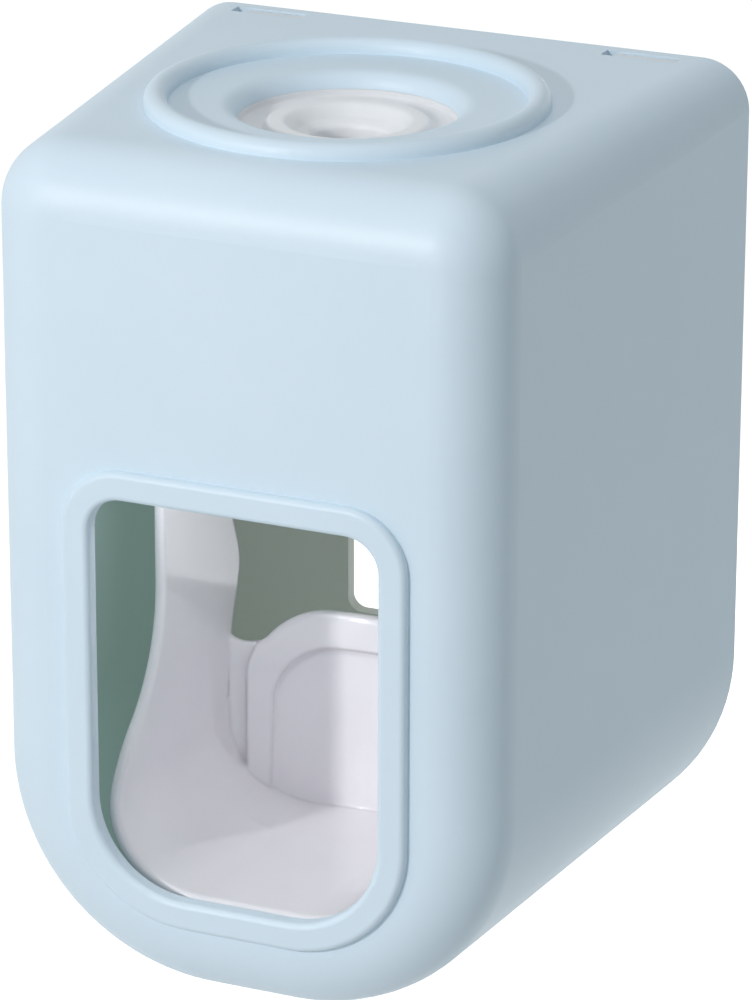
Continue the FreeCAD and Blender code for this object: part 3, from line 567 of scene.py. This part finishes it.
class DISPENSER_OT_collar(bpy.types.Operator):
    """Makes the silicone collar that grips the tube"""
    bl_idname = "dispenser.collar"
    bl_label = "Tube collar"

    def execute(self, context):
        measure = sizes()
        low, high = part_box("inlet_collar")
        centre = middle_of("inlet_collar")
        outer = (high.x - low.x) / 2
        seat = high.z - measure.collar_flange
        ring = high.z - measure.collar_step
        hole_gap = 0.2 * MM
        ring_edge = measure.collar_hole - hole_gap
        disc_slope = 0.4 * MM
        disc_rim = 2.2 * MM
        lip = high.z - measure.collar_dish
        lip_width = 1.6 * MM
        lip_fall = 0.6 * MM
        soft = 0.3 * MM
        corners = [
            (measure.collar_bore, low.z, 0),
            (measure.collar_neck, low.z, soft),
            (measure.collar_neck, seat, soft),
            (outer, seat, soft),
            (outer, high.z, soft),
            (ring_edge, high.z, soft),
            (ring_edge, ring, 2 * soft),
            (measure.collar_disc + disc_slope, ring, 2 * soft),
            (measure.collar_disc, high.z, 2 * soft),
            (measure.collar_disc - disc_rim, high.z, 4 * soft),
            (measure.collar_bore + lip_width, lip, 5 * soft),
            (measure.collar_bore, lip - lip_fall, 3 * soft),
        ]
        collar = turned("tube_collar", softened(corners, 6), centre, 128)
        white = silicone("Moulded silicone, white", colours().collar, 2.0, 0.38)
        settle(collar, "dispenser", white, "silicone_white", "inlet_collar")
        return {"FINISHED"}


class DISPENSER_OT_pump(bpy.types.Operator):
    """Makes the pump bulb and its two valves, and finishes the pump's mouldings"""
    bl_idname = "dispenser.pump"
    bl_label = "Pump"

    def execute(self, context):
        tone = colours()
        moulded = satin_abs("Satin ABS, natural", tone.pump, tone.pump_flow, 0.3)
        for name in ("inlet_seat", "outlet_nozzle", "nozzle_nut", "pump_frame"):
            dress(name, moulded)
        milky = silicone("Moulded silicone, milky", tone.bulb, 3.0, 0.32)
        bulb = self.bulb()
        settle(bulb, "dispenser", milky, "silicone_clear", "pump_bulb")
        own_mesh(bulb)
        settle(self.flap_valve(), "dispenser", milky, "silicone_clear", "inlet_valve")
        settle(self.duckbill(), "dispenser", milky, "silicone_clear", "outlet_valve")
        return {"FINISHED"}

    def bulb(self):
        """Barrel-shaped bulb with a round flange, hollow, open at both ends."""
        measure = sizes()
        low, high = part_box("pump_bulb")
        outer = (high.x - low.x) / 2
        wall = measure.bulb_wall
        flange_low = high.z - measure.bulb_flange
        top = flange_low - measure.bulb_plate
        soft = 0.3 * MM
        belly = []
        steps = 24
        for step in range(steps + 1):
            share = step / steps
            chord = measure.bulb_neck + share * (measure.bulb_foot - measure.bulb_neck)
            swell = (outer - (measure.bulb_neck + measure.bulb_foot) / 2) * 4 * share * (1 - share)
            belly.append((chord + swell, top + share * (low.z - top)))
        corners = [
            (measure.bulb_neck - wall, high.z, soft),
            (outer, high.z, soft),
            (outer, flange_low, soft),
            (measure.bulb_neck, flange_low, soft),
        ]
        points = softened([*corners, (measure.bulb_neck, top, 0)])[:-1]
        points += [Vector(point) for point in belly]
        points.append(Vector((measure.bulb_bore, low.z)))
        points.append(Vector((measure.bulb_bore, low.z + wall)))
        points += [Vector((radius - wall, max(height, low.z + wall))) for radius, height in reversed(belly)]
        return turned("pump_bulb_silicone", points, middle_of("pump_bulb"), 128)

    def flap_valve(self):
        """Disc with a round flap, cut free but for its hinge, that sags a little at its middle."""
        measure = sizes()
        low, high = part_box("inlet_valve")
        centre = middle_of("inlet_valve")
        outer = (high.x - low.x) / 2
        slit = measure.flap_radius + measure.flap_slit
        radii = [measure.flap_radius * share for share in (0.25, 0.5, 0.75, 1)]
        radii += [slit, (slit + outer) / 2, outer]
        slit_row = radii.index(slit) - 1
        sag_depth = 0.2 * MM
        steps = 72
        cut = 58
        shape = bmesh.new()
        pole = shape.verts.new((centre.x, centre.y, high.z - sag_depth))
        rows = []
        for radius in radii:
            sag = sag_depth * max(0, 1 - (radius / measure.flap_radius) ** 2)
            rows.append([
                shape.verts.new((
                    centre.x + radius * math.cos(2 * math.pi * step / steps),
                    centre.y + radius * math.sin(2 * math.pi * step / steps),
                    high.z - sag,
                ))
                for step in range(steps)
            ])
        for step in range(steps):
            following = (step + 1) % steps
            shape.faces.new((pole, rows[0][step], rows[0][following]))
            for index in range(len(rows) - 1):
                if index == slit_row and step < cut:
                    continue
                near, far = rows[index], rows[index + 1]
                shape.faces.new((near[step], far[step], far[following], near[following]))
        valve = from_bmesh("inlet_flap_valve", shape)
        wall = valve.modifiers.new("Thickness", "SOLIDIFY")
        wall.thickness = high.z - low.z - sag_depth
        wall.offset = -1
        return plain_mesh("inlet_flap_valve", valve)

    def duckbill(self):
        """Round tube that flattens to two lips with a slit between them."""
        measure = sizes()
        low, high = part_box("outlet_valve")
        centre = middle_of("outlet_valve")
        flange = (high.x - low.x) / 2
        flange_thickness = 1.2 * MM
        flange_low = high.z - flange_thickness
        shoulder = (flange_low + low.z) / 2
        tube = measure.bill_tube
        wall = measure.bill_wall
        half_slit = 0.15 * MM
        rings = [
            (flange, flange, high.z),
            (flange, flange, flange_low),
            (tube, tube, flange_low),
            (tube, tube, shoulder),
            (tube, 0.75 * tube, 0.6 * shoulder + 0.4 * low.z),
            (0.97 * tube, 0.4 * tube, 0.25 * shoulder + 0.75 * low.z),
            (0.95 * tube, wall, low.z),
            (0.95 * tube - wall, half_slit, low.z),
            (0.9 * tube - wall, 0.25 * tube, 0.5 * shoulder + 0.5 * low.z),
            (tube - wall, tube - wall, shoulder),
            (tube - wall, tube - wall, high.z),
        ]
        steps = 64
        shape = bmesh.new()
        rows = [
            [
                shape.verts.new((
                    centre.x + wide * math.cos(2 * math.pi * step / steps),
                    centre.y + deep * math.sin(2 * math.pi * step / steps),
                    height,
                ))
                for step in range(steps)
            ]
            for wide, deep, height in rings
        ]
        for index in range(len(rows)):
            upper, lower = rows[index], rows[(index + 1) % len(rows)]
            for step in range(steps):
                following = (step + 1) % steps
                shape.faces.new((upper[step], upper[following], lower[following], lower[step]))
        return from_bmesh("outlet_duckbill", shape)


class DISPENSER_OT_springs(bpy.types.Operator):
    """Winds the two return springs"""
    bl_idname = "dispenser.springs"
    bl_label = "Return springs"

    def execute(self, context):
        measure = sizes()
        low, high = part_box("return_springs")
        steel = drawn_steel("Spring steel, drawn wire", colours().steel, 1, 0.08)
        tree = bpy.data.node_groups.new("Coil springs", "GeometryNodeTree")
        reach = measure.coil + measure.wire / 2
        height = (low.z + high.z) / 2
        lengths = {
            "Wire": measure.wire,
            "Coil": measure.coil,
            "Length": high.y - low.y - measure.wire,
            "Spacing": high.x - low.x - 2 * reach,
            "Turns": float(measure.turns),
        }
        values = dict(zip(take(tree, "NodeSocketFloat", *lengths), lengths.values()))
        start = take(tree, "NodeSocketVector", "Start")[0]
        values[start] = (low.x + reach, low.y + measure.wire / 2, height)
        given = add(tree, "NodeGroupInput").outputs
        helix = add(tree, "GeometryNodeCurveSpiral", {
            "Resolution": 40,
            "Rotations": given["Turns"],
            "Start Radius": given["Coil"],
            "End Radius": given["Coil"],
            "Height": given["Length"],
        })
        laid = add(tree, "GeometryNodeTransform", {
            "Geometry": helix.outputs["Curve"], "Rotation": (-math.pi / 2, 0, 0)
        })
        half = sum_of(tree, "MULTIPLY", given["Wire"], 0.5)
        section = add(tree, "GeometryNodeCurvePrimitiveCircle", {"Resolution": 14, "Radius": half})
        tube = add(tree, "GeometryNodeCurveToMesh", {
            "Curve": laid.outputs["Geometry"], "Profile Curve": section.outputs["Curve"], "Fill Caps": True
        })
        step = add(tree, "ShaderNodeCombineXYZ", {"X": given["Spacing"]})
        places = add(tree, "GeometryNodeMeshLine", {
            "Count": 2, "Start Location": given["Start"], "Offset": step.outputs["Vector"]
        })
        give_copies(tree, places.outputs["Mesh"], tube.outputs["Mesh"], steel)
        springs = grown("return_springs_wire", tree, values)
        springs.data.shade_smooth()
        springs.data.set_sharp_from_angle(angle=math.radians(50))
        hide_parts("return_springs")
        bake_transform(springs)
        return {"FINISHED"}


class DISPENSER_OT_hardware(bpy.types.Operator):
    """Finishes the pivot's steel and nylon and the screws, and makes the rubber seal and bumpers"""
    bl_idname = "dispenser.hardware"
    bl_label = "Pivot, screws and rubber"

    def execute(self, context):
        tone = colours()
        dress("pivot_pin", drawn_steel("Ground steel pin", tone.steel, 0, 0.1))
        dress("pin_clips", drawn_steel("Pressed spring steel clip", tone.steel, 1, 0.15))
        dress("frame_screws", drawn_steel("Zinc-plated screw steel", tone.steel, 2, 0.12))
        dress("pivot_washers", nylon("Turned nylon washer", tone.nylon))
        black = rubber("Moulded rubber, black", tone.rubber)
        settle(self.seal(), "dispenser", black, "seal_black", "nozzle_seal")
        settle(self.bumpers(black), "dispenser", black, "seal_black", "stop_bumpers")
        return {"FINISHED"}

    def seal(self):
        """O-ring with the faint flash line of its mould."""
        low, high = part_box("nozzle_seal")
        centre = middle_of("nozzle_seal")
        half = (high.z - low.z) / 2
        ring = (high.x - low.x) / 2 - half
        flash = 0.02 * MM
        points = []
        steps = 24
        for step in range(steps):
            angle = 2 * math.pi * step / steps
            on_flash = step % (steps // 2) == steps // 4
            reach = half if on_flash else half - flash
            points.append(Vector((ring + reach * math.cos(angle), centre.z + reach * math.sin(angle))))
        return turned("nozzle_o_ring", points, centre, 96)

    def bumpers(self, black):
        """Two mushroom bumpers with domed heads, placed by one node tree."""
        measure = sizes()
        low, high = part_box("stop_bumpers")
        head = (high.z - low.z) / 2
        stem_end = low.y - (high.y - measure.bumper_head)
        soft = 0.35 * MM
        pip = 0.02 * MM
        corners = [
            (pip, measure.bumper_head, 0),
            (0.6 * head, measure.bumper_head, 2 * soft),
            (head, measure.bumper_head - soft, 2 * soft),
            (head, 0, soft / 2),
            (measure.bumper_stem, 0, 0),
            (measure.bumper_stem, stem_end + soft, soft),
            (0.6 * measure.bumper_stem, stem_end, soft / 2),
            (pip, stem_end, 0),
        ]
        pattern = turned("bumper_pattern", softened(corners), Vector((0, 0, 0)), 48)
        pattern.data.transform(Matrix.Rotation(-math.pi / 2, 4, "X"))
        tree = bpy.data.node_groups.new("Bumper pair", "GeometryNodeTree")
        first, step = take(tree, "NodeSocketVector", "First", "Step")
        given = add(tree, "NodeGroupInput").outputs
        places = add(tree, "GeometryNodeMeshLine", {
            "Count": 2, "Start Location": given["First"], "Offset": given["Step"]
        })
        source = add(tree, "GeometryNodeObjectInfo", {"Object": pattern})
        give_copies(tree, places.outputs["Mesh"], source.outputs["Geometry"], black)
        made = grown("stop_bumper_pair", tree, {
            first: (low.x + head, high.y - measure.bumper_head, (low.z + high.z) / 2),
            step: (high.x - low.x - 2 * head, 0, 0),
        })
        bpy.data.objects.remove(pattern)
        return made


class DISPENSER_OT_wall_mount(bpy.types.Operator):
    """Finishes the wall plate and makes its foam adhesive pad"""
    bl_idname = "dispenser.wall_mount"
    bl_label = "Wall plate and pad"

    def execute(self, context):
        tone = colours()
        dress("wall_plate", satin_abs("Satin ABS, wall plate", tone.cover, tone.cover_flow, 0.3))
        low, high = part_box("adhesive_pad")
        middle = (low + high) / 2
        half = (high - low) / 2
        shape = bmesh.new()
        rows = []
        corner = 3.0 * MM
        waist_depth = 0.12 * MM
        steps = 8
        layers = 6
        for layer in range(layers + 1):
            share = layer / layers
            waist = waist_depth * math.sin(math.pi * share)
            row = []
            for quarter in range(4):
                side_x = (1, -1, -1, 1)[quarter]
                side_z = (1, 1, -1, -1)[quarter]
                for step in range(steps + 1):
                    angle = math.pi / 2 * (quarter + step / steps)
                    reach = corner - waist
                    row.append(shape.verts.new((
                        middle.x + side_x * (half.x - corner) + reach * math.cos(angle),
                        low.y + share * (high.y - low.y),
                        middle.z + side_z * (half.z - corner) + reach * math.sin(angle),
                    )))
            rows.append(row)
        for near, far in zip(rows, rows[1:]):
            for index in range(len(near)):
                following = (index + 1) % len(near)
                shape.faces.new((near[index], near[following], far[following], far[index]))
        shape.faces.new(rows[0])
        shape.faces.new(rows[-1])
        pad = from_bmesh("foam_adhesive_pad", shape)
        foam = foam_tape("Closed-cell foam tape", tone.foam)
        settle(pad, "wall_mount", foam, "foam_tape", "adhesive_pad")
        return {"FINISHED"}


class DISPENSER_OT_stage(bpy.types.Operator):
    """Sets up the floor, the light and the camera"""
    bl_idname = "dispenser.stage"
    bl_label = "Studio"

    def execute(self, context):
        scene = context.scene
        setup = scene.dispenser_stage
        scene.view_settings.view_transform = "Standard"
        self.sky(scene, setup)
        self.floor(scene, setup)
        self.lamp(scene, "Key lamp", (-0.32, -0.52, 0.10), (0, -0.04, -0.02), (0.4, 0.4), setup.key)
        self.lamp(scene, "Beam lamp", (-0.20, -0.63, 0.26), (0, -0.03, -0.045), (0.03, 0.03), setup.beam)
        self.lamp(scene, "Top lamp", (0.05, -0.15, 0.9), (0, -0.04, 0), (0.9, 0.9), setup.fill)
        self.lamp(scene, "Back lamp", (0, 0.85, -0.12), (0, -0.02, -0.01), (0.4, 0.3), setup.back)
        self.lamp(scene, "Bay lamp", (-0.008, -0.067, 0.014), (0, -0.03, -0.04), (0.024, 0.008), setup.bay)
        self.camera(scene, setup)
        return {"FINISHED"}

    def sky(self, scene, setup):
        """White to the eye and in reflections, and weaker as light."""
        world = bpy.data.worlds.new("Studio white")
        world.use_nodes = True
        tree = world.node_tree
        tree.nodes.clear()
        seen = seen_directly(tree)
        strength = spread(tree, seen, setup.sky, 1.0)
        cool = (0.89, 1.0, 1.04, 1)
        colour = mixed(tree, seen, cool, (1, 1, 1, 1))
        back = add(tree, "ShaderNodeBackground", {"Color": colour, "Strength": strength})
        add(tree, "ShaderNodeOutputWorld", {"Surface": back.outputs["Background"]})
        scene.world = world

    def floor(self, scene, setup):
        """Pale floor well below the dispenser, lifted to white for the eye, so that only a shadow shows."""
        mesh = bpy.data.meshes.new("Studio floor")
        half = 6.0
        height = cad_box[0].z - setup.floor_drop
        mesh.from_pydata(
            [(-half, -half, height), (half, -half, height), (half, half, height), (-half, half, height)],
            [],
            [(0, 1, 2, 3)],
        )
        floor = bpy.data.objects.new("Studio floor", mesh)
        scene.collection.objects.link(floor)
        material, tree, place = blank_material("Studio paper, white")
        mottle = noise(tree, place, 2.0, 2.0)
        paper = add(tree, "ShaderNodeBsdfDiffuse", {
            "Color": mixed(tree, mottle, (0.80, 0.80, 0.80, 1), (0.83, 0.83, 0.83, 1))
        })
        lift = spread(tree, seen_directly(tree), 0.0, 0.78)
        glow = add(tree, "ShaderNodeEmission", {"Strength": lift})
        both = add(tree, "ShaderNodeAddShader", {0: paper.outputs["BSDF"], 1: glow.outputs["Emission"]})
        add(tree, "ShaderNodeOutputMaterial", {"Surface": both.outputs["Shader"]})
        mesh.materials.append(material)

    def lamp(self, scene, name, place, aim, spans, power):
        """Rectangular soft lamp that faces a point."""
        data = bpy.data.lights.new(name, "AREA")
        data.shape = "RECTANGLE"
        data.size, data.size_y = spans
        data.energy = power
        lamp = bpy.data.objects.new(name, data)
        lamp.location = place
        lamp.rotation_euler = (Vector(aim) - Vector(place)).to_track_quat("-Z", "Y").to_euler()
        scene.collection.objects.link(lamp)

    def camera(self, scene, setup):
        """Camera where the photograph was taken from."""
        turn, rise, roll = setup.camera_turn, setup.camera_rise, setup.camera_roll
        right = Vector((math.cos(turn), math.sin(turn), 0))
        back = Vector((math.sin(turn) * math.cos(rise), -math.cos(turn) * math.cos(rise), math.sin(rise)))
        up = back.cross(right)
        rolled_right = math.cos(roll) * right + math.sin(roll) * up
        rolled_up = math.cos(roll) * up - math.sin(roll) * right
        data = bpy.data.cameras.new("Photo camera")
        data.lens = setup.lens
        data.sensor_width = 36.0
        data.clip_start = 0.01
        camera = bpy.data.objects.new("Photo camera", data)
        axes = Matrix((rolled_right, rolled_up, back)).transposed().to_4x4()
        camera.matrix_world = Matrix.Translation(setup.camera_place) @ axes
        scene.collection.objects.link(camera)
        scene.camera = camera


class VIEW3D_PT_dispenser(bpy.types.Panel):
    """Lists the dispenser's pieces"""
    bl_idname = "VIEW3D_PT_dispenser"
    bl_label = "Toothpaste dispenser"
    bl_space_type = "VIEW_3D"
    bl_region_type = "UI"
    bl_category = "Dispenser"

    def draw(self, context):
        for operator in operators:
            self.layout.operator(operator.bl_idname)
        for name, kind in groups.items():
            box = self.layout.box()
            for value in kind.__annotations__:
                box.prop(getattr(context.scene, name), value)


operators = [
    DISPENSER_OT_casing,
    DISPENSER_OT_lever,
    DISPENSER_OT_collar,
    DISPENSER_OT_pump,
    DISPENSER_OT_springs,
    DISPENSER_OT_hardware,
    DISPENSER_OT_wall_mount,
    DISPENSER_OT_stage,
]
groups = {
    "dispenser_colours": DispenserColours,
    "dispenser_sizes": DispenserSizes,
    "dispenser_stage": DispenserStage,
}


def register():
    for kind in (*groups.values(), *operators, VIEW3D_PT_dispenser):
        bpy.utils.register_class(kind)
    for name, kind in groups.items():
        setattr(bpy.types.Scene, name, PointerProperty(type=kind))


def unregister():
    for name in groups:
        delattr(bpy.types.Scene, name)
    for kind in (VIEW3D_PT_dispenser, *reversed(operators), *reversed(list(groups.values()))):
        bpy.utils.unregister_class(kind)


def main():
    register()
    bpy.ops.dispenser.casing()
    bpy.ops.dispenser.lever()
    bpy.ops.dispenser.collar()
    bpy.ops.dispenser.pump()
    bpy.ops.dispenser.springs()
    bpy.ops.dispenser.hardware()
    bpy.ops.dispenser.wall_mount()
    bpy.ops.dispenser.stage()


if __name__ == "__main__":
    main()
